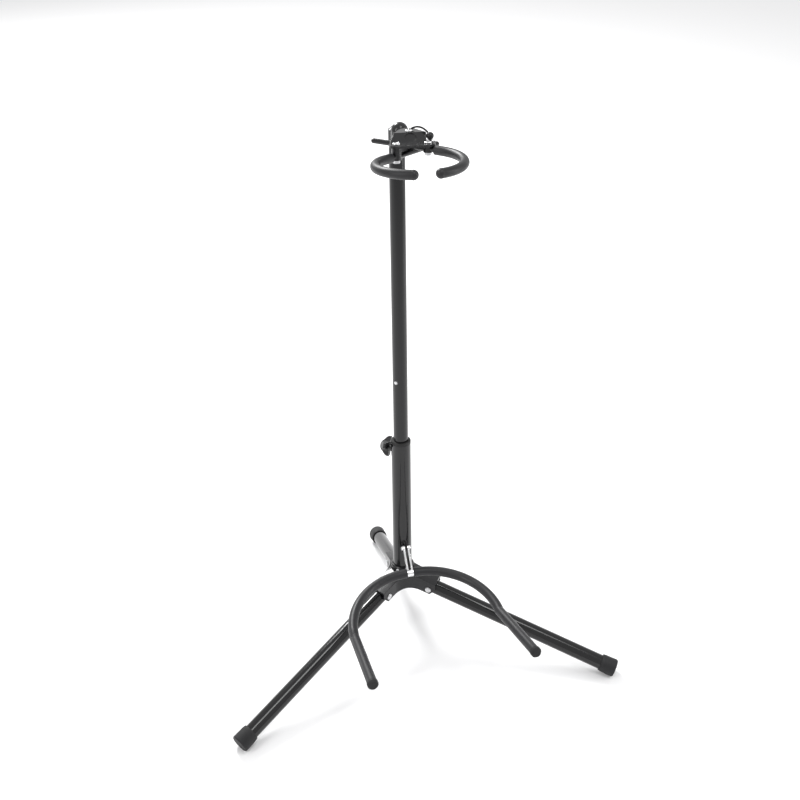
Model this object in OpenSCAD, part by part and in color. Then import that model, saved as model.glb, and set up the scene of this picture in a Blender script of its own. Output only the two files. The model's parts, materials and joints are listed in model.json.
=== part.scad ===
// Folding instrument stand: tripod base, two-tube mast, folding cradle and a closing neck yoke.
// The front is -Y. The origin is on the floor, under the middle of the whole stand.

/* [Stance] */
// Lean of the mast behind upright, degrees
lean = 7.3; // [0:0.1:12]
// Slope of every leg, measured from square to the mast, degrees
leg_slope = 16.7; // [12:0.1:26]
// Angle between each front leg and straight ahead, degrees
leg_spread = 57; // [50:1:62]

/* [Legs] */
// Reach of a front leg, from the mast's axis to the end of its foot cap
leg_reach = 309; // [240:1:400]
// Outside diameter of a leg tube
leg_d = 19; // [16:0.5:22]
// Wall of a leg tube
leg_wall = 1.2; // [0.8:0.1:2]
// Distance along a leg from the mast's axis to its rivet
pivot_reach = 42; // [38:1:46]
// Shank diameter of a leg rivet
rivet_d = 5; // [3:0.5:6]
// Outside diameter of a foot cap
foot_d = 23.8; // [22:0.1:28]
// Length of a foot cap
foot_len = 20; // [14:1:32]
// Thickness of a foot cap's closed end
foot_end = 4; // [2:0.5:8]
// Depth of the flat moulded where a foot cap meets the floor
foot_flat = 1; // [0.6:0.1:2]

/* [Hub] */
// Reach of each hub arm from the mast's axis
arm_reach = 50.5; // [50:0.5:60]
// Thickness of a hub arm's cheeks
cheek = 2.7; // [2:0.1:4]
// Thickness of the roof over a leg
roof = 3; // [2:0.1:5]
// Depth of the cheeks below a leg's axis
skirt = 5.5; // [5:0.5:8]
// Radius of the curve that joins neighbouring arms
arm_fillet = 34; // [25:1:40]
// Outside diameter of the collar that holds the lower tube
boss_d = 31; // [29:0.5:36]
// Height of the collar above the crossing point of the leg axes
boss_top = 17.5; // [16:0.5:30]

/* [Mast] */
// Outside diameter of the lower tube
low_d = 25.4; // [24:0.1:28]
// Wall of the lower tube
low_wall = 1.2; // [0.8:0.1:1.6]
// Height of the lower tube's rim above the hub's centre
low_top = 206; // [160:1:300]
// Outside diameter of the upper tube
up_d = 19.05; // [17:0.05:20]
// Wall of the upper tube
up_wall = 1.2; // [0.8:0.1:1.6]
// Length of upper tube that stays inside the lower one
insertion = 109; // [95:1:140]
// Height of the neck ring's plane above the hub's centre
head_height = 603; // [480:1:760]
// Flange height of the collar bush
flange_h = 4.5; // [3:0.5:8]
// Length of the collar bush inside the lower tube
collar_len = 35; // [28:1:45]
// Height of the guide bush at the upper tube's foot
guide_h = 20; // [12:1:26]
// Height above the lower rim of the rivet that stops the upper tube
stop_h = 90; // [40:1:160]

/* [Height clamp] */
// Direction of the clamp knob round the mast, degrees from +X
knob_dir = 145; // [100:1:170]
// Distance of the clamp screw below the lower tube's rim
clamp_drop = 9; // [8:0.5:18]
// Diameter of the clamp screw
clamp_d = 6; // [5:0.5:8]
// Length of the threaded boss outside the tube
clamp_boss_len = 3.4; // [2:0.1:8]
// Distance from the knob's middle to the middle of a lobe
lobe_reach = 10.6; // [9:0.1:14]
// Diameter of a lobe
lobe_d = 8.6; // [7:0.1:11]
// Depth of the knob along its screw
knob_h = 11; // [9:0.5:16]

/* [Cradle] */
// Height of the cradle hinge above the hub's centre
hinge_h = 52; // [46:1:90]
// Distance of the cradle hinge in front of the lower tube's skin
hinge_off = 5.5; // [5.3:0.1:8]
// Bolt diameter of the cradle hinge
hinge_d = 4; // [3:0.5:5]
// Reach of the bracket, from the hinge to the cradle rod
bracket_reach = 32.5; // [30:0.5:50]
// Angle of the bracket below square to the mast, degrees
bracket_drop = 47; // [30:1:52]
// Turn of both cradle arms to the right, degrees
cradle_skew = 3.2; // [-5:0.1:5]
// Diameter of the cradle rod
rod_d = 6.4; // [5:0.1:8]
// Outside diameter of the cradle's sleeves
pad_d = 12.4; // [10:0.1:15]
// Half of the cradle rod's straight middle
cradle_mid = 5; // [5:0.5:20]
// Bend radius of the cradle rod
cradle_bend = 89.5; // [60:0.5:95]
// Fall of the bent part, degrees
cradle_fall = 8; // [0:1:20]
// Length of each straight cradle arm
cradle_arm = 98; // [60:1:120]
// Rise of the straight arms, degrees
cradle_rise = 9; // [0:0.5:20]
// Outward splay of the straight arms, degrees
cradle_splay = 2.8; // [0:0.1:8]
// Length of a sleeve's end cap
tip_len = 6; // [4:0.5:10]

/* [Neck yoke] */
// Turn of the yoke round the mast, degrees
head_turn = -5.5; // [-8:0.5:8]
// Sideways offset of the head from the mast's axis
head_side = 6; // [0:0.5:7]
// Distance from the mast's axis to the middle of the neck ring
ring_off = 118; // [112:1:150]
// Radius of the ring's centre line
ring_r = 45.5; // [40:0.5:52]
// Gap between the ring's two tips
ring_gap = 17; // [10:1:40]
// Diameter of the yoke rods
yoke_rod_d = 6; // [5:0.1:6.4]
// Outside diameter of the yoke's sleeves
yoke_pad_d = 10.4; // [9:0.1:13]
// Sideways distance of a yoke pivot from the middle
pivot_side = 17; // [15:0.5:22]
// Slant of the yoke rods where they cross, degrees
cross_slant = 42; // [38:1:46]
// Sideways distance of a rod's tail end from the middle
tail_side = 35; // [30:1:45]
// Shank diameter of the pivot screws
screw_d = 4; // [3:0.5:5]

/* [Head] */
// Diameter of the head's round body
body_d = 19.8; // [19.4:0.2:22]
// Length of the head's plug inside the upper tube
plug_len = 26; // [16:1:40]
// Height of the crossing point of the yoke rods, from the ring's plane
cross_z = -1.2; // [-3:0.1:1]
// Thickness of the plate over the yoke rods
plate_t = 2; // [1.5:0.1:4]
// Height of the hood above the plate, at its rear screw
hood_h = 9; // [6:0.5:12]
// Distance from the head's middle line at the mast to the rear screw
rear_screw = 50; // [46:1:54]
// Radius of the hood round its rear screw
hood_r = 11; // [9:0.5:13]
// Radius of the lobes round the pivots
lobe_r = 8; // [7:0.5:9]
// Height of the dome above the ring's plane
dome_top = 17.5; // [14:0.5:22]

/* [Fits] */
// Radial play of a shaft that turns or slides in a hole
run_fit = 0.05; // [0.02:0.01:0.1]
// Gap between faces that move past each other
side_gap = 0.3; // [0.2:0.05:0.6]

/* [Hidden] */
$fn = 64;
far = 400;
eps = 0.01;

// Stance: directions of the legs once the hub leans
az_right = -90 + leg_spread;
az_left = -90 - leg_spread;
az_rear = 90;
front_sin = sin(leg_slope) * cos(lean) - cos(leg_spread) * cos(leg_slope) * sin(lean);
front_slope = asin(front_sin);
rear_slope = leg_slope + lean;
foot_r = foot_d / 2;
hub_h = leg_reach * front_sin + foot_r * cos(front_slope) - foot_flat;
rear_reach = (hub_h + foot_flat - foot_r * cos(rear_slope)) / sin(rear_slope);

// Legs and hub
leg_r = leg_d / 2;
bay = leg_r + side_gap;
round_end = leg_r - 0.2;
rivet_r = rivet_d / 2;
arm_w = bay + cheek;
steep = tan(leg_slope);
up_over = (bay + roof) / cos(leg_slope);
down_under = skirt / cos(leg_slope);
low_r = low_d / 2;
low_bore = low_r - low_wall;
low_foot = -down_under - (boss_d / 2 - 1.5) * steep;

// Mast
up_r = up_d / 2;
collar_top = low_top + flange_h;
guide_foot = low_top - insertion - 3;
up_top = head_height + cross_z - yoke_rod_d - 0.9;
stop_z = low_top + stop_h;
clamp_z = low_top - clamp_drop;
knob_foot = low_r + clamp_boss_len + side_gap;
lobe_out = lobe_reach + lobe_d / 2;

// Cradle, as distances in front of the mast's axis and heights above the hub
hinge_f = low_r + hinge_off;
mid_f = hinge_f + bracket_reach * cos(bracket_drop);
mid_z = hinge_h - bracket_reach * sin(bracket_drop);
rod_r = rod_d / 2;
pad_r = pad_d / 2;
clip_w = 4.1;
lug_t = 3;
eye_r = 4.8;
clip_r = rod_r + 1.8;
bend_f = mid_f + cradle_bend * cos(cradle_fall);
bend_z = mid_z - cradle_bend * sin(cradle_fall);
tip_f = bend_f + (cradle_arm + tip_len) * cos(cradle_rise) * cos(cradle_splay);
tip_z = bend_z + (cradle_arm + tip_len) * sin(cradle_rise);

// Place of the mast's foot, so that the origin is under the middle of the stand
front_y = tip_f * cos(lean) - tip_z * sin(lean);
rear_y = rear_reach * cos(rear_slope) + foot_r * sin(rear_slope);
hub_y = (front_y - rear_y) / 2;

// Head, as distances in front of the mast's axis
yoke_r = yoke_rod_d / 2;
level = yoke_r + 0.45;
body_r = body_d / 2;
block_r = body_r - 1.3;
deck = cross_z + 2 * level;
keel = cross_z - 2 * level;
sleeve_r = yoke_pad_d / 2;
cross_f = ring_off - ring_r / cos(cross_slant);
pivot_f = cross_f + pivot_side * tan(cross_slant);
join_f = ring_off - ring_r * cos(cross_slant);
join_x = ring_r * sin(cross_slant);
tail_f = cross_f - tail_side * tan(cross_slant);
tip_angle = asin((ring_gap / 2 + sleeve_r) / ring_r);
line_len = (join_x - pivot_side) / cos(cross_slant);
tail_len = (pivot_side + tail_side) / cos(cross_slant);
yoke_eye = 5.2;
sleeve_from = lobe_r + 1.2;
screw_r = screw_d / 2;
plate_top = deck + plate_t;
hood_top = plate_top + hood_h;
mast_x = -head_side * cos(head_turn);
mast_f = -head_side * sin(head_turn);
stop_f = cross_f - (block_r + yoke_r + side_gap) / cos(cross_slant);
brow_x = 0.72 * mast_x;
brow_f = 0.72 * mast_f + 0.28 * stop_f;
head_r = 4.2;
head_h = 2.2;
lobe_top = plate_top + 0.8;
ball_r = 4.2;
ball_x = 21;
ball_f = 61;
ball_z = plate_top + 5.6;
cord_r = 1.1;
cord_x = 2;
cord_f = 42;
cord_z = hood_top - 1;
cord_rise = 6.5;
cord_run = norm([ball_x - cord_x, ball_f - cord_f]);
cord_turn = atan2(cord_f - ball_f, ball_x - cord_x);
cord_tilt = -atan((ball_z - cord_z) / cord_run);
cord_span = norm([cord_run, ball_z - cord_z]);
cord_bend = (cord_span * cord_span / 4 + cord_rise * cord_rise) / (2 * cord_rise);
cord_half = asin(cord_span / 2 / cord_bend);
cord_drop = cord_bend - cord_rise;

// Frames
module at_hub() translate([0, hub_y, hub_h]) rotate([-lean, 0, 0]) children();
module along_leg(az) rotate([0, 0, az]) rotate([0, leg_slope, 0]) children();
module at_head() at_hub() translate([head_side, 0, head_height]) rotate([0, 0, head_turn]) children();
module at_knob() at_hub() translate([0, 0, clamp_z]) rotate([0, 0, knob_dir]) rotate([0, 90, 0]) children();
module ahead(f, z) translate([0, -f, z]) children();
// A profile drawn as distance ahead and height, made w wide across the stand
module profile(w) rotate([90, 0, -90]) linear_extrude(height = w, center = true) children();
module pipe(r, bore, h) difference() {
    cylinder(r = r, h = h);
    translate([0, 0, -1]) cylinder(r = bore, h = h + 2);
}
// Half a ball on a flat base, facing up
module dome(r) rotate_extrude() intersection() {
    circle(r);
    square(2 * r);
}
module mirrored(side) {
    if (side < 0) mirror([1, 0, 0]) children();
    else children();
}

// Two circles joined by their outer tangents
module link2(p, r, q, s) {
    d = norm(q - p);
    turn = atan2(q[1] - p[1], q[0] - p[0]);
    open = acos((r - s) / d);
    polygon([p + r * [cos(turn + open), sin(turn + open)], p + r * [cos(turn - open), sin(turn - open)],
        q + s * [cos(turn - open), sin(turn - open)], q + s * [cos(turn + open), sin(turn + open)]]);
    translate(p) circle(r);
    translate(q) circle(s);
}

// Hub
module arm_outline(az) rotate(az) translate([0, -arm_w]) square([arm_reach, 2 * arm_w]);
module web(az_a, az_b) {
    half = (az_b - az_a) / 2;
    reach = (arm_w + arm_fillet - 0.15) / sin(half);
    foot = (arm_w + arm_fillet - 0.15) / tan(half);
    rotate(az_a + half) difference() {
        polygon([[0, 0], foot * [cos(half), -sin(half)], [reach, 0], foot * [cos(half), sin(half)]]);
        translate([reach, 0]) circle(arm_fillet, $fn = 96);
    }
}
module hub_envelope() {
    far_r = arm_reach + 20;
    rotate_extrude($fn = 96) polygon([[0, -down_under], [far_r, -down_under - far_r * steep],
        [far_r, up_over - far_r * steep], [0, up_over]]);
}
module leg_bay(az) along_leg(az) {
    translate([pivot_reach - leg_r - 8, -bay, -far / 4]) cube([far / 4, 2 * bay, far / 4 + bay]);
    translate([pivot_reach, 0, 0]) rotate([90, 0, 0]) cylinder(r = rivet_r, h = far / 2, center = true);
    translate([arm_reach / cos(leg_slope) - 1.5, -far / 8, 4]) rotate([0, 28, 0]) translate([0, 0, -far / 8]) cube([far / 8, far / 4, far / 8]);
}
module hub() color([0.07, 0.07, 0.08]) at_hub() difference() {
    union() {
        intersection() {
            translate([0, 0, -60]) linear_extrude(height = 100) union() {
                for (az = [az_left, az_right, az_rear]) arm_outline(az);
                web(az_left, az_right);
                web(az_right, az_rear);
                web(az_rear, az_left + 360);
            }
            hub_envelope();
        }
        translate([0, 0, low_foot]) cylinder(r = boss_d / 2, h = boss_top - 2 - low_foot);
        translate([0, 0, boss_top - 2]) cylinder(r1 = boss_d / 2, r2 = boss_d / 2 - 1.4, h = 2);
    }
    for (az = [az_left, az_right, az_rear]) leg_bay(az);
    translate([0, 0, low_foot - far / 4]) cylinder(r = low_r, h = far);
    set_screw_hole();
}

// Mast, lower part
set_dir = 231;
set_r = 2;
set_z = boss_top - 5;
module set_screw_hole() translate([0, 0, set_z]) rotate([0, 0, set_dir]) rotate([0, 90, 0]) cylinder(r = set_r, h = far / 4);
module lower_tube() color([0.05, 0.05, 0.06]) at_hub() difference() {
    translate([0, 0, low_foot]) pipe(low_r, low_bore, low_top - low_foot);
    translate([0, 0, clamp_z]) rotate([0, 0, knob_dir]) rotate([0, 90, 0]) cylinder(r = clamp_d / 2 + side_gap, h = far / 4);
    set_screw_hole();
}
module hub_set_screw() color([0.75, 0.75, 0.76]) at_hub() translate([0, 0, set_z]) rotate([0, 0, set_dir]) rotate([0, 90, 0]) {
    translate([0, 0, low_bore]) cylinder(r = set_r, h = boss_d / 2 - low_bore);
    translate([0, 0, boss_d / 2]) cylinder(r1 = 2.6, r2 = 1.8, h = 1.2);
}
module cradle_lug() color([0.05, 0.05, 0.06]) at_hub() difference() {
    profile(lug_t) link2([hinge_f, hinge_h], eye_r - 0.6, [low_r - 4, hinge_h + 1.5], 5.5);
    translate([0, 0, hinge_h - far / 8]) cylinder(r = low_r, h = far / 4);
    ahead(hinge_f, hinge_h) rotate([0, 90, 0]) cylinder(r = hinge_d / 2, h = far / 8, center = true);
}
module collar_bush() color([0.03, 0.03, 0.03]) at_hub() difference() {
    union() {
        translate([0, 0, low_top - collar_len]) cylinder(r = low_bore, h = collar_len);
        translate([0, 0, low_top]) cylinder(r = low_r, h = flange_h - 1);
        translate([0, 0, low_top + flange_h - 1]) cylinder(r1 = low_r, r2 = low_r - 0.8, h = 1);
    }
    cylinder(r = up_r + run_fit, h = far);
    translate([0, 0, clamp_z]) rotate([0, 0, knob_dir]) rotate([0, 90, 0]) cylinder(r = clamp_d / 2 + side_gap, h = far / 4);
}

// Legs
module leg_tube(az, reach) color([0.05, 0.05, 0.06]) at_hub() along_leg(az) difference() {
    intersection() {
        rotate([0, 90, 0]) cylinder(r = leg_r, h = reach - foot_end);
        union() {
            translate([pivot_reach, 0, 0]) rotate([90, 0, 0]) cylinder(r = round_end, h = far / 4, center = true);
            translate([pivot_reach, -far / 8, -far / 8]) cube([far, far / 4, far / 4]);
        }
    }
    rotate([0, 90, 0]) cylinder(r = leg_r - leg_wall, h = far);
    translate([pivot_reach, 0, 0]) rotate([90, 0, 0]) cylinder(r = rivet_r + run_fit, h = far / 4, center = true);
}
module leg_rivet(az) along_leg(az) translate([pivot_reach, 0, 0]) rotate([90, 0, 0]) {
    cylinder(r = rivet_r, h = 2 * arm_w, center = true);
    for (turn = [0, 180]) rotate([turn, 0, 0]) translate([0, 0, arm_w]) {
        cylinder(r = rivet_r + 1.5, h = 0.6);
        translate([0, 0, 0.6]) cylinder(r1 = rivet_r + 1.5, r2 = rivet_r - 0.4, h = 1.1);
    }
}
module leg_rivets() color([0.6, 0.6, 0.62]) at_hub() for (az = [az_left, az_right, az_rear]) leg_rivet(az);
module foot_cap(az, reach) color([0.1, 0.1, 0.1]) difference() {
    at_hub() along_leg(az) difference() {
        translate([reach - foot_len, 0, 0]) rotate([0, 90, 0]) union() {
            cylinder(r1 = foot_r - 1.1, r2 = foot_r - 0.5, h = 3);
            translate([0, 0, 3]) cylinder(r1 = foot_r - 0.5, r2 = foot_r, h = foot_len - 4.4);
            translate([0, 0, foot_len - 1.4]) cylinder(r1 = foot_r, r2 = foot_r - 1, h = 1.4);
        }
        rotate([0, 90, 0]) cylinder(r = leg_r, h = reach - foot_end);
    }
    translate([-far, -far, -far / 2]) cube([2 * far, 2 * far, far / 2]);
}

// Height clamp
module clamp_boss() color([0.05, 0.05, 0.06]) difference() {
    at_knob() difference() {
        cylinder(r = clamp_d / 2 + 3, h = low_r + clamp_boss_len);
        cylinder(r = clamp_d / 2 + run_fit, h = far / 4);
    }
    at_hub() cylinder(r = low_r, h = far);
}
module clamp_screw() color([0.6, 0.6, 0.62]) at_knob() translate([0, 0, up_r + side_gap])
    cylinder(r = clamp_d / 2, h = knob_foot + 5 - up_r - side_gap);
module clamp_knob() color([0.06, 0.06, 0.06]) at_knob() translate([0, 0, knob_foot]) difference() {
    intersection() {
        linear_extrude(height = knob_h) union() {
            circle(6.8);
            for (k = [0:2]) rotate(120 * k) {
                translate([lobe_reach, 0]) circle(lobe_d / 2);
                translate([0, 0.7 - lobe_d / 2]) square([lobe_reach, lobe_d - 1.4]);
            }
        }
        rotate_extrude($fn = 96) polygon([[0, 0], [lobe_out - 0.8, 0], [lobe_out, 0.8], [lobe_out, 3],
            [5.6, knob_h - 0.8], [4.6, knob_h], [0, knob_h]]);
    }
    translate([0, 0, -1]) cylinder(r = clamp_d / 2, h = 6);
}

// Cradle
module hinge_bolt() color([0.8, 0.8, 0.82]) at_hub() ahead(hinge_f, hinge_h) rotate([0, 90, 0]) {
    cylinder(r = hinge_d / 2, h = 2 * clip_w + 4, center = true);
    translate([0, 0, -clip_w - 2 - side_gap / 2]) cylinder(r1 = 2.4, r2 = 4, h = 2);
}
module hinge_nut() color([0.8, 0.8, 0.82]) at_hub() ahead(hinge_f, hinge_h) rotate([0, 90, 0])
    translate([0, 0, clip_w + side_gap / 2]) difference() {
        cylinder(r1 = 4, r2 = 3, h = 2.4);
        cylinder(r = hinge_d / 2, h = 1.85);
    }
module cradle_bracket() color([0.85, 0.85, 0.87]) at_hub() difference() {
    union() {
        for (side = [-1, 1]) translate([side * (lug_t / 2 + side_gap + clip_w) / 2, 0, 0])
            profile(clip_w - lug_t / 2 - side_gap) union() {
                translate([hinge_f, hinge_h]) circle(eye_r);
                translate([hinge_f, hinge_h]) rotate(-bracket_drop) translate([0, -3]) square([bracket_reach, 6]);
                heel_z = hinge_h - 6.5;
                translate([low_r + side_gap, heel_z]) square([hinge_off - side_gap, 6.5]);
            }
        ahead(mid_f, mid_z) rotate([0, 90, 0]) cylinder(r = clip_r, h = 2 * clip_w, center = true);
    }
    ahead(mid_f, mid_z) rotate([0, 90, 0]) cylinder(r = rod_r, h = far / 8, center = true);
    ahead(hinge_f, hinge_h) rotate([0, 90, 0]) cylinder(r = hinge_d / 2 + run_fit, h = far / 8, center = true);
}
// One side of the cradle's centre line as a bar of radius r, from x = from to the end of its arm
module cradle_half(side, r, from, arm) {
    if (from > 0) ahead(mid_f, mid_z) translate([from, 0, 0]) rotate([0, 90, 0]) cylinder(r = r, h = cradle_mid - from);
    ahead(mid_f, mid_z) rotate([cradle_fall, 0, 0]) translate([cradle_mid, -cradle_bend, 0])
        rotate_extrude(angle = 90, $fn = 96) translate([cradle_bend, 0]) circle(r, $fn = 48);
    translate([cradle_mid + cradle_bend, -bend_f, bend_z]) sphere(r + 0.15);
    cradle_arm_frame(side) rotate([0, 90, 0]) cylinder(r = r, h = arm);
}
module cradle_arm_frame(side) translate([cradle_mid + cradle_bend, -bend_f, bend_z])
    rotate([0, 0, cradle_splay + side * cradle_skew - 90]) rotate([0, -cradle_rise, 0]) children();
module cradle_rod() color([0.07, 0.07, 0.07]) at_hub() {
    ahead(mid_f, mid_z) rotate([0, 90, 0]) cylinder(r = rod_r, h = 2 * cradle_mid, center = true);
    for (side = [-1, 1]) mirrored(side) cradle_half(side, rod_r, 0, cradle_arm);
}
module cradle_sleeve(side) color([0.09, 0.09, 0.1]) at_hub() mirrored(side) difference() {
    cradle_half(side, pad_r, 0, cradle_arm);
    cradle_half(side, rod_r, 1, cradle_arm + 1);
}
module cradle_tip(side) color([0.06, 0.06, 0.06]) at_hub() mirrored(side) cradle_arm_frame(side) translate([cradle_arm, 0, 0])
    rotate([0, 90, 0]) {
        cylinder(r = pad_r + 0.5, h = tip_len - 2.4);
        translate([0, 0, tip_len - 2.4]) cylinder(r1 = pad_r + 0.5, r2 = pad_r - 1.2, h = 2.4);
    }

// Mast, upper part
module guide_bush() color([0.12, 0.12, 0.12]) at_hub() translate([0, 0, guide_foot]) difference() {
    cylinder(r = low_bore - run_fit, h = guide_h);
    translate([0, 0, 3]) cylinder(r = up_r + run_fit, h = guide_h);
    translate([0, 0, -1]) cylinder(r = up_r - 2.5, h = guide_h);
}
module upper_tube() color([0.05, 0.05, 0.06]) at_hub() difference() {
    translate([0, 0, guide_foot + 3 + side_gap / 2]) pipe(up_r, up_r - up_wall, up_top - guide_foot - 3 - side_gap / 2);
    stop_hole();
}
stop_dir = 223;
stop_r = 1.6;
module stop_hole() translate([0, 0, stop_z]) rotate([0, 0, stop_dir]) rotate([0, 90, 0]) cylinder(r = stop_r, h = far / 4);
module stop_rivet() color([0.75, 0.75, 0.76]) at_hub() translate([0, 0, stop_z]) rotate([0, 0, stop_dir]) rotate([0, 90, 0]) {
    translate([0, 0, up_r - up_wall]) cylinder(r = stop_r, h = up_wall + 0.3);
    translate([0, 0, up_r + 0.1]) cylinder(r1 = stop_r + 0.8, r2 = stop_r, h = 1);
}

// Head
module bullet(r, h) {
    cylinder(r = r, h = h);
    translate([0, 0, h]) dome(r);
}
module pivot_at(side) translate([side * pivot_side, -pivot_f, 0]) children();
module plate_outline(rear_r) {
    rear = [0, -rear_screw + 4];
    left = [-pivot_side, -pivot_f];
    right = [pivot_side, -pivot_f];
    link2(rear, rear_r, left, lobe_r);
    link2(rear, rear_r, right, lobe_r);
    link2(left, lobe_r, right, lobe_r);
    polygon([rear, left, right]);
}
module head_housing() color([0.06, 0.06, 0.065]) at_head() difference() {
    union() {
        translate([mast_x, -mast_f, keel - plug_len]) cylinder(r = up_r - up_wall, h = plug_len + 2);
        translate([0, 0, keel]) linear_extrude(height = plate_top - keel - 0.4)
            link2([mast_x, -mast_f], block_r, [0, -stop_f], block_r);
        translate([0, 0, deck]) linear_extrude(height = plate_t) plate_outline(hood_r);
        translate([ball_x, -ball_f, deck + 0.3]) cylinder(r = 6, h = plate_t - 0.6);
        translate([mast_x, -mast_f, keel]) {
            cylinder(r = body_r, h = plate_top + 0.4 - keel);
            translate([0, 0, plate_top + 0.4 - keel]) cylinder(r1 = body_r, r2 = body_r - 5, h = 4);
        }
        translate([brow_x, -brow_f, keel + 1]) bullet(body_r - 0.3, dome_top - body_r - 0.7 - keel + 1);
        pivot_at(-1) translate([0, 0, cross_z]) cylinder(r = yoke_eye, h = deck + 1 - cross_z);
    }
    for (side = [-1, 1]) pivot_at(side) cylinder(r = screw_r, h = far / 4, center = true);
    ahead(rear_screw, 0) cylinder(r = screw_r, h = far / 8, center = true);
    translate([ball_x, -ball_f, -far / 16]) cylinder(r = 1.8, h = far / 8);
}
// A sloping hood over the plate, seen from the side as distance ahead and height
module head_cover() color([0.08, 0.08, 0.085]) at_head() difference() {
    intersection() {
        translate([0, 0, plate_top]) linear_extrude(height = hood_h) plate_outline(hood_r);
        profile(far / 4) polygon([[20, plate_top - 1], [far / 2, plate_top - 1], [far / 2, lobe_top],
            [slope_f, lobe_top], [rear_screw + 5, hood_top], [20, hood_top]]);
    }
    for (side = [-1, 1]) pivot_at(side) cylinder(r = screw_r, h = far / 4, center = true);
    for (side = [-1, 1]) pivot_at(side) translate([0, 0, lobe_top]) cylinder(r = head_r + 0.8, h = far / 4);
    ahead(rear_screw, 0) cylinder(r = screw_r, h = far / 4, center = true);
    translate([brow_x, -brow_f, 0]) cylinder(r = body_r, h = far / 4);
    translate([ball_x, -ball_f, 0]) cylinder(r = ball_r + 1.3, h = far / 8);
    cord_path(cord_r);
    ahead((rear_screw + 5 + slope_f) / 2, (hood_top + lobe_top) / 2) rotate([slope_a, 0, 0])
        translate([0, 0, -0.9]) cylinder(r = 6.2, h = 6);
}
slope_f = pivot_f - 5;
slope_a = atan((hood_top - lobe_top) / (slope_f - rear_screw - 5));
module pan_screw(shank) {
    translate([0, 0, -shank]) cylinder(r = screw_r, h = shank);
    cylinder(r = head_r, h = head_h - 1);
    translate([0, 0, head_h - 1]) cylinder(r1 = head_r, r2 = head_r - 1.2, h = 1);
}
module cover_screw() color([0.85, 0.85, 0.87]) at_head() ahead(rear_screw, hood_top) pan_screw(hood_h + plate_t);
module pivot_screws() color([0.85, 0.85, 0.87]) at_head() {
    pivot_at(1) translate([0, 0, lobe_top]) pan_screw(lobe_top - cross_z + nut_h);
    pivot_at(-1) translate([0, 0, lobe_top]) pan_screw(lobe_top - keel + nut_h);
}
nut_h = 3.2;
module pivot_nut() difference() {
    translate([0, 0, -nut_h]) cylinder(r = 4, h = nut_h, $fn = 6);
    translate([0, 0, -nut_h - 1]) cylinder(r = screw_r, h = nut_h + 2);
}
module pivot_nuts() color([0.6, 0.6, 0.62]) at_head() {
    pivot_at(1) translate([0, 0, cross_z]) pivot_nut();
    pivot_at(-1) translate([0, 0, keel]) pivot_nut();
}

// Yoke: the right arm runs above the left one, and side is its side of the ring
module yoke_pivot(side) translate([pivot_side, -pivot_f, cross_z + side * level]) children();
// The straight and the ring lie in one plane that meets the middle height at the tip
module yoke_plane(side) yoke_pivot(side) rotate([atan((cross_z + side * level) / (ring_off + ring_r - pivot_f)), 0, 0])
    translate([-pivot_side, pivot_f - ring_off, 0]) rotate([0, 0, 90 - cross_slant]) rotate([180, 0, 0]) children();
module yoke_front(side, r, from, last) yoke_plane(side) {
    rotate_extrude(angle = last - cross_slant, $fn = 96) translate([ring_r, 0]) circle(r, $fn = 64);
    translate([ring_r, 0, 0]) rotate([90, 0, 0]) cylinder(r = r, h = line_len - from);
}
module yoke_tail(side) yoke_pivot(side) rotate([0, 0, 180 - cross_slant]) rotate([0, 90, 0]) {
    translate([0, 0, screw_r + 0.5]) cylinder(r = yoke_r, h = tail_len - screw_r - 0.5);
    translate([0, 0, tail_len]) dome(yoke_r);
}
module yoke_rod(side) color([0.07, 0.07, 0.075]) at_head() mirrored(side) difference() {
    union() {
        yoke_front(side, yoke_r, screw_r + 0.5, 172 - tip_angle);
        yoke_tail(side);
        yoke_pivot(side) cylinder(r = yoke_eye, h = 2 * level - side_gap, center = true);
    }
    translate([pivot_side, -pivot_f, 0]) cylinder(r = screw_r + run_fit, h = far / 8, center = true);
}
module yoke_sleeve(side) color([0.09, 0.09, 0.1]) at_head() mirrored(side) difference() {
    union() {
        yoke_front(side, sleeve_r, sleeve_from, 180 - tip_angle);
        yoke_plane(side) rotate([0, 0, 180 - tip_angle - cross_slant]) translate([ring_r, 0, 0]) sphere(sleeve_r + 0.15);
    }
    yoke_front(side, yoke_r, screw_r + 0.5, 172 - tip_angle);
}

// Strap: a rubber cord that rises from the cover beside the rear screw and ends in the ball
module cord_path(r) translate([cord_x, -cord_f, cord_z]) rotate([0, 0, cord_turn]) rotate([0, cord_tilt, 0])
    translate([cord_span / 2, 0, -cord_drop]) rotate([90, 0, 0]) rotate([0, 0, 90 - cord_half])
        rotate_extrude(angle = 2 * cord_half, $fn = 96) translate([cord_bend, 0]) circle(r, $fn = 24);
module strap_cord() color([0.04, 0.04, 0.04]) at_head() difference() {
    cord_path(cord_r);
    translate([ball_x, -ball_f, ball_z]) sphere(ball_r);
}
module strap_ball() color([0.05, 0.05, 0.055]) at_head() translate([ball_x, -ball_f, 0]) {
    translate([0, 0, ball_z]) sphere(ball_r);
    translate([0, 0, deck - 1]) cylinder(r = 1.75, h = ball_z - deck);
}
module strap_eyelet() color([0.85, 0.85, 0.87]) at_head() translate([ball_x, -ball_f, 0]) {
    translate([0, 0, deck - 1.5]) strap_ring(5, 1.5);
    translate([0, 0, plate_top]) strap_ring(4.4, 1.2);
}
module strap_ring(r, h) difference() {
    cylinder(r = r, h = h);
    translate([0, 0, -1]) cylinder(r = 1.8, h = h + 2);
}

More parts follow.
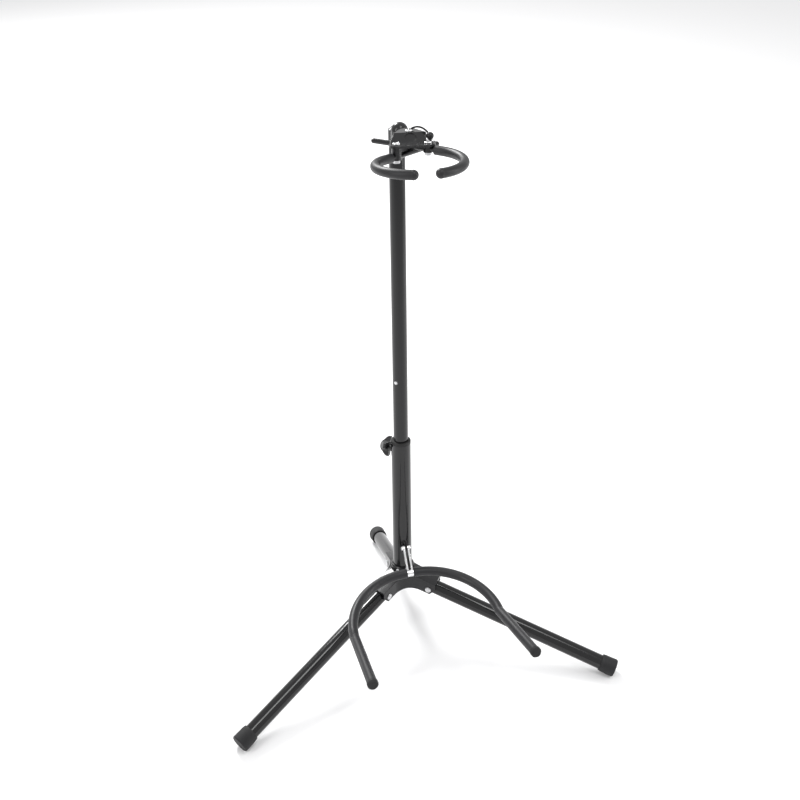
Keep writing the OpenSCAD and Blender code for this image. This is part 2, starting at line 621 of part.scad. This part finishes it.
hub();
lower_tube();
cradle_lug();
clamp_boss();
hub_set_screw();
collar_bush();
leg_rivets();
leg_tube(az_left, leg_reach);  // leg_tube_left
leg_tube(az_right, leg_reach);  // leg_tube_right
leg_tube(az_rear, rear_reach);  // leg_tube_rear
foot_cap(az_left, leg_reach);  // foot_cap_left
foot_cap(az_right, leg_reach);  // foot_cap_right
foot_cap(az_rear, rear_reach);  // foot_cap_rear
clamp_knob();
clamp_screw();
hinge_bolt();
hinge_nut();
cradle_bracket();
cradle_rod();
cradle_sleeve(-1);  // cradle_sleeve_left
cradle_sleeve(1);  // cradle_sleeve_right
cradle_tip(-1);  // cradle_tip_left
cradle_tip(1);  // cradle_tip_right
guide_bush();
upper_tube();
stop_rivet();
head_housing();
head_cover();
cover_screw();
pivot_screws();
pivot_nuts();
yoke_rod(-1);  // yoke_rod_left
yoke_rod(1);  // yoke_rod_right
yoke_sleeve(-1);  // yoke_sleeve_left
yoke_sleeve(1);  // yoke_sleeve_right
strap_cord();
strap_ball();
strap_eyelet();
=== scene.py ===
import json
import math

import bmesh
import bpy
from mathutils import Matrix, Vector


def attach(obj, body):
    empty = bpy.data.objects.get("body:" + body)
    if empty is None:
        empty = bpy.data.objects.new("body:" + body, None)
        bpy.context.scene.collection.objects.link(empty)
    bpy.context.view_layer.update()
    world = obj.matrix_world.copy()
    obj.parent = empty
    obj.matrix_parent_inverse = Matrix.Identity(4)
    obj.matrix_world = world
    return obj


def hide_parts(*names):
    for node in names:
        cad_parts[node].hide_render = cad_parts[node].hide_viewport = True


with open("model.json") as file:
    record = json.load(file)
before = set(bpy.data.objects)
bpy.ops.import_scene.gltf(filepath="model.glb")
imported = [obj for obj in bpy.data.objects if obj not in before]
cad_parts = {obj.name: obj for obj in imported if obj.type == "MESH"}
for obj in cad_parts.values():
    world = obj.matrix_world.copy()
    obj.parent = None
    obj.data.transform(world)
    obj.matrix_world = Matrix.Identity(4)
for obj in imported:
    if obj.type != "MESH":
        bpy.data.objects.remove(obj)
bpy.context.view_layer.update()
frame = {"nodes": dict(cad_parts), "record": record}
nodes = frame["nodes"]
print("loaded", len(nodes), "nodes")

# Camera at the photograph's viewing angle: a long view from the front left, a little above
cameraSettings = {
    "place": (-0.2692, -0.9322, 1.0791),
    "azimuth": -15.07,
    "elevation": 32.33,
    "roll": 1.34,
    "lens": 45.2,
    "shift": (-0.002, -0.0668),
}


def addCamera(c):
    a, e, r = (math.radians(c[k]) for k in ("azimuth", "elevation", "roll"))
    back = Vector((math.sin(a) * math.cos(e), -math.cos(a) * math.cos(e), math.sin(e)))
    right = Vector((math.cos(a), math.sin(a), 0))
    up = back.cross(right)
    x = right * math.cos(r) + up * math.sin(r)
    y = up * math.cos(r) - right * math.sin(r)
    data = bpy.data.cameras.new("camera")
    data.sensor_width = 36
    data.lens = c["lens"]
    data.shift_x, data.shift_y = c["shift"]
    cam = bpy.data.objects.new("camera", data)
    m = Matrix((x, y, back)).transposed().to_4x4()
    m.translation = Vector(c["place"])
    cam.matrix_world = m
    bpy.context.scene.collection.objects.link(cam)
    bpy.context.scene.camera = cam


addCamera(cameraSettings)
print("camera placed")

# Studio: a pale floor that runs to the horizon, a white sky and soft lights.
# The main light is behind, to the left
studioSettings = {
    "floor": (0.93, 0.93, 0.935),
    "floorReach": 30.0,
    "sky": 0.8,
    "lights": (
        ("key", (-0.6, 2.3, 2.0), (0, 0, 0.1), (0.8, 0.8), 78),
        ("fill", (-1.9, -0.7, 1.6), (0, 0, 0.35), (0.25, 1.6), 14),
        ("strip", (1.7, -0.5, 0.9), (0, 0, 0.35), (0.1, 1.5), 9),
        ("top", (0.3, -0.6, 2.4), (0, 0, 0.3), (0.7, 0.7), 10),
    ),
}


def addStudio(c):
    bm = bmesh.new()
    bmesh.ops.create_grid(bm, x_segments=1, y_segments=1, size=c["floorReach"])
    mesh = bpy.data.meshes.new("floor")
    bm.to_mesh(mesh)
    bm.free()
    floor = bpy.data.objects.new("floor", mesh)
    floor.location.z = -0.0002
    bpy.context.scene.collection.objects.link(floor)
    mat = bpy.data.materials.new("floorPaint")
    mat.use_nodes = True
    shader = mat.node_tree.nodes["Principled BSDF"]
    shader.inputs["Base Color"].default_value = (*c["floor"], 1)
    shader.inputs["Roughness"].default_value = 0.9
    shader.inputs["Specular IOR Level"].default_value = 0.1
    mesh.materials.append(mat)
    world = bpy.data.worlds.new("sky")
    world.use_nodes = True
    world.node_tree.nodes["Background"].inputs["Color"].default_value = (1, 1, 1, 1)
    world.node_tree.nodes["Background"].inputs["Strength"].default_value = c["sky"]
    bpy.context.scene.world = world
    for name, place, aim, size, power in c["lights"]:
        data = bpy.data.lights.new(name, "AREA")
        data.shape = "RECTANGLE"
        data.size, data.size_y = size
        data.energy = power
        lamp = bpy.data.objects.new(name, data)
        lamp.location = place
        lamp.rotation_mode = "QUATERNION"
        lamp.rotation_quaternion = (Vector(aim) - Vector(place)).to_track_quat("-Z", "Y")
        bpy.context.scene.collection.objects.link(lamp)
    bpy.context.scene.view_settings.view_transform = "Standard"


addStudio(studioSettings)
print("studio lit")

# Finishes: colour, roughness, metal, coat, bump strength, bump scale, edge radius in metres
finishes = {
    "tube_paint": ((0.006, 0.006, 0.0065), 0.13, 0.0, 0.15, 0.006, 700, 0.0004),
    "hub_paint": ((0.008, 0.008, 0.009), 0.22, 0.0, 0.1, 0.02, 1400, 0.0009),
    "rod_paint": ((0.008, 0.008, 0.0085), 0.2, 0.0, 0.1, 0.01, 900, 0.0003),
    "head": ((0.012, 0.012, 0.013), 0.24, 0.0, 0.1, 0.02, 1200, 0.0009),
    "knob": ((0.008, 0.008, 0.009), 0.34, 0.0, 0.0, 0.03, 1500, 0.0011),
    "bush": ((0.007, 0.007, 0.007), 0.5, 0.0, 0.0, 0.02, 1500, 0.0004),
    "rubber": ((0.010, 0.010, 0.011), 0.6, 0.0, 0.0, 0.05, 1800, 0.0008),
    "foam": ((0.013, 0.013, 0.0145), 0.42, 0.0, 0.0, 0.07, 2400, 0.0006),
    "chrome": ((0.86, 0.86, 0.87), 0.1, 1.0, 0.0, 0.01, 900, 0.0004),
    "zinc": ((0.6, 0.6, 0.61), 0.28, 1.0, 0.0, 0.02, 1500, 0.0003),
}
finishSettings = {
    "wideScale": 40,
    "specular": 0.36,
    "metalSpecular": 0.5,
    "coatRoughness": 0.08,
    "noiseRange": (0.3, 0.7),
    "roughRange": (0.85, 1.2),
    "bumpGain": 4,
    "bumpDepth": 0.0002,
    "bevelSamples": 4,
}


def makeFinish(name, c, f):
    colour, rough, metal, coat, bump, scale, edge = c
    mat = bpy.data.materials.new(name)
    mat.use_nodes = True
    t = mat.node_tree
    shader = t.nodes["Principled BSDF"]
    shader.inputs["Base Color"].default_value = (*colour, 1)
    shader.inputs["Metallic"].default_value = metal
    shader.inputs["Specular IOR Level"].default_value = f["specular"] if metal == 0 else f["metalSpecular"]
    shader.inputs["Coat Weight"].default_value = coat
    shader.inputs["Coat Roughness"].default_value = f["coatRoughness"]
    where = t.nodes.new("ShaderNodeTexCoord")
    fine = t.nodes.new("ShaderNodeTexNoise")
    fine.inputs["Scale"].default_value = scale
    fine.inputs["Detail"].default_value = 3
    wide = t.nodes.new("ShaderNodeTexNoise")
    wide.inputs["Scale"].default_value = f["wideScale"]
    wide.inputs["Detail"].default_value = 4
    spread = t.nodes.new("ShaderNodeMapRange")
    spread.inputs["From Min"].default_value, spread.inputs["From Max"].default_value = f["noiseRange"]
    low, high = f["roughRange"]
    spread.inputs["To Min"].default_value = rough * low
    spread.inputs["To Max"].default_value = rough * high
    round_ = t.nodes.new("ShaderNodeBevel")
    round_.samples = f["bevelSamples"]
    round_.inputs["Radius"].default_value = edge
    bumped = t.nodes.new("ShaderNodeBump")
    bumped.inputs["Strength"].default_value = bump * f["bumpGain"]
    bumped.inputs["Distance"].default_value = f["bumpDepth"]
    t.links.new(where.outputs["Object"], fine.inputs["Vector"])
    t.links.new(where.outputs["Object"], wide.inputs["Vector"])
    t.links.new(wide.outputs["Fac"], spread.inputs["Value"])
    t.links.new(spread.outputs["Result"], shader.inputs["Roughness"])
    t.links.new(fine.outputs["Fac"], bumped.inputs["Height"])
    t.links.new(round_.outputs["Normal"], bumped.inputs["Normal"])
    t.links.new(bumped.outputs["Normal"], shader.inputs["Normal"])
    return mat


mats = {n: makeFinish(n + "Finish", c, finishSettings) for n, c in finishes.items()}

# The cradle's sleeves wrinkle over a short length where they bend
wrinkleSettings = {
    "sleeves": {"cradle_sleeve_left": -1, "cradle_sleeve_right": 1},
    "reach": 0.014,
    "scale": 330,
    "strength": 0.55,
    "distortion": 3,
    "depth": 0.0006,
}


# The bend is the outermost point of a sleeve's side, where the curved half meets the straight one
def bendOf(name, side):
    points = [v.co for v in nodes[name].data.vertices]
    return max(points, key=lambda p: p.x * side)


def addWrinkles(mat, place, c):
    t = mat.node_tree
    where = t.nodes.new("ShaderNodeTexCoord")
    gap = t.nodes.new("ShaderNodeVectorMath")
    gap.operation = "DISTANCE"
    gap.inputs[1].default_value = place
    near = t.nodes.new("ShaderNodeMapRange")
    near.inputs["From Min"].default_value = 0
    near.inputs["From Max"].default_value = c["reach"]
    near.inputs["To Min"].default_value = 1
    near.inputs["To Max"].default_value = 0
    folds = t.nodes.new("ShaderNodeTexWave")
    folds.bands_direction = "Y"
    folds.inputs["Scale"].default_value = c["scale"]
    folds.inputs["Distortion"].default_value = c["distortion"]
    both = t.nodes.new("ShaderNodeMath")
    both.operation = "MULTIPLY"
    bump = t.nodes.new("ShaderNodeBump")
    bump.inputs["Strength"].default_value = c["strength"]
    bump.inputs["Distance"].default_value = c["depth"]
    shader = t.nodes["Principled BSDF"]
    before = shader.inputs["Normal"].links[0].from_socket
    t.links.new(where.outputs["Object"], gap.inputs[0])
    t.links.new(gap.outputs["Value"], near.inputs["Value"])
    t.links.new(where.outputs["Object"], folds.inputs["Vector"])
    t.links.new(near.outputs["Result"], both.inputs[0])
    t.links.new(folds.outputs["Fac"], both.inputs[1])
    t.links.new(both.outputs["Value"], bump.inputs["Height"])
    t.links.new(before, bump.inputs["Normal"])
    t.links.new(bump.outputs["Normal"], shader.inputs["Normal"])


slotOf = {s["node"]: s["material_slot"] for s in frame["record"]["subparts"]}
for name, obj in nodes.items():
    obj.data.materials.clear()
    obj.data.materials.append(mats[slotOf[name]])
for name, side in wrinkleSettings["sleeves"].items():
    wrinkled = makeFinish(name + "Finish", finishes["foam"], finishSettings)
    addWrinkles(wrinkled, bendOf(name, side), wrinkleSettings)
    nodes[name].data.materials[0] = wrinkled
print("finishes made")

joints = {j["name"]: j for j in frame["record"]["behaviour"]["joints"]}
mastAxis = Vector(joints["mast_slide"]["axis"]).normalized()


def addObject(name, mesh, body, slotName, *replaced):
    obj = bpy.data.objects.new(name, mesh)
    bpy.context.scene.collection.objects.link(obj)
    mesh.materials.append(mats[slotName])
    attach(obj, body)
    if replaced:
        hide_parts(*replaced)
    return obj


# A profile of (radius, height) points turned round an axis, as one closed skin
def turned(bm, profile, centre, axis, steps=48):
    q = axis.to_track_quat("Z", "X")
    rings = []
    for radius, height in profile:
        if radius == 0:
            rings.append([bm.verts.new(centre + q @ Vector((0, 0, height)))])
            continue
        ring = []
        for i in range(steps):
            a = 2 * math.pi * i / steps
            spot = Vector((radius * math.cos(a), radius * math.sin(a), height))
            ring.append(bm.verts.new(centre + q @ spot))
        rings.append(ring)
    for low, high in zip(rings, rings[1:]):
        for i in range(steps):
            j = (i + 1) % steps
            if len(low) == 1:
                bm.faces.new((low[0], high[j], high[i]))
            elif len(high) == 1:
                bm.faces.new((low[i], low[j], high[0]))
            else:
                bm.faces.new((low[i], low[j], high[j], high[i]))


def meshFrom(bm, name, smooth=True):
    bmesh.ops.recalc_face_normals(bm, faces=bm.faces)
    for f in bm.faces:
        f.smooth = smooth
    mesh = bpy.data.meshes.new(name)
    bm.to_mesh(mesh)
    bm.free()
    return mesh


# Cuts one mesh out of another and leaves a plain mesh
def carved(mesh, cutter, name):
    whole = bpy.data.objects.new("whole", mesh)
    tool = bpy.data.objects.new("tool", cutter)
    for o in (whole, tool):
        bpy.context.scene.collection.objects.link(o)
    cut = whole.modifiers.new("cut", "BOOLEAN")
    cut.object = tool
    cut.operation = "DIFFERENCE"
    cut.solver = "EXACT"
    graph = bpy.context.evaluated_depsgraph_get()
    result = bpy.data.meshes.new_from_object(whole.evaluated_get(graph))
    result.name = name
    for o in (whole, tool):
        bpy.data.objects.remove(o)
    return result


# Pan-head screws with a cross recess, in place of the plain CAD ones
screwSettings = {
    "headRadius": 0.0042,
    "headHeight": 0.0022,
    "shankRadius": 0.002,
    "crown": 0.0009,
    "edge": 0.0001,
    "recessWidth": 0.0009,
    "recessReach": 0.0021,
    "recessDepth": 0.0011,
    "steps": 48,
    "crownAngles": (0.25, 0.6, 0.95, 1.25),
}


def makeScrew(name, top, shank, turn, c):
    r, h = c["headRadius"], c["headHeight"]
    base = top - mastAxis * h
    rise, edge = c["crown"], c["edge"]
    crown = [(r * math.cos(a), h - rise + rise * math.sin(a)) for a in c["crownAngles"]]
    stem = [(0, -shank), (c["shankRadius"], -shank), (c["shankRadius"], 0)]
    profile = stem + [(r - edge, 0), (r, edge), (r, h - rise)]
    bm = bmesh.new()
    turned(bm, profile + crown + [(0, h)], base, mastAxis, c["steps"])
    mesh = meshFrom(bm, name + "Mesh")
    q = mastAxis.to_track_quat("Z", "X").to_matrix().to_4x4()
    size = (2 * c["recessReach"], c["recessWidth"], 2 * c["recessDepth"])
    for quarter in (0, math.pi / 2):
        arm = Matrix.Translation(top) @ q @ Matrix.Rotation(turn + quarter, 4, "Z")
        bm = bmesh.new()
        bmesh.ops.create_cube(bm, size=1, matrix=arm @ Matrix.Diagonal((*size, 1)))
        mesh = carved(mesh, meshFrom(bm, name + "Cutter", False), name + "Mesh")
    return mesh


def joinMeshes(meshes, name):
    bm = bmesh.new()
    for m in meshes:
        bm.from_mesh(m)
    mesh = bpy.data.meshes.new(name)
    bm.to_mesh(mesh)
    bm.free()
    return mesh


def topOf(points):
    best = max(p.dot(mastAxis) for p in points)
    flat = [p for p in points if p.dot(mastAxis) > best - 0.0002]
    lo = Vector([min(p[i] for p in flat) for i in range(3)])
    hi = Vector([max(p[i] for p in flat) for i in range(3)])
    return (lo + hi) / 2


def nodePoints(name):
    return [v.co.copy() for v in nodes[name].data.vertices]


def lengthAlong(points):
    reach = [p.dot(mastAxis) for p in points]
    return max(reach) - min(reach)


def screwFor(name, points, turn):
    shank = lengthAlong(points) - screwSettings["headHeight"]
    return makeScrew(name, topOf(points), shank, turn, screwSettings)


rear = screwFor("coverScrew", nodePoints("cover_screw"), 0.5)
addObject("coverScrew", rear, "mast", "chrome", "cover_screw")
both = nodePoints("pivot_screws")
middle = sum(p.x for p in both) / len(both)
pair = []
for side, turn in ((-1, 0.2), (1, 0.9)):
    pair.append(screwFor("pivotScrew", [p for p in both if (p.x - middle) * side > 0], turn))
addObject("pivotScrews", joinMeshes(pair, "pivotScrewsMesh"), "mast", "chrome", "pivot_screws")
print("screws cut")
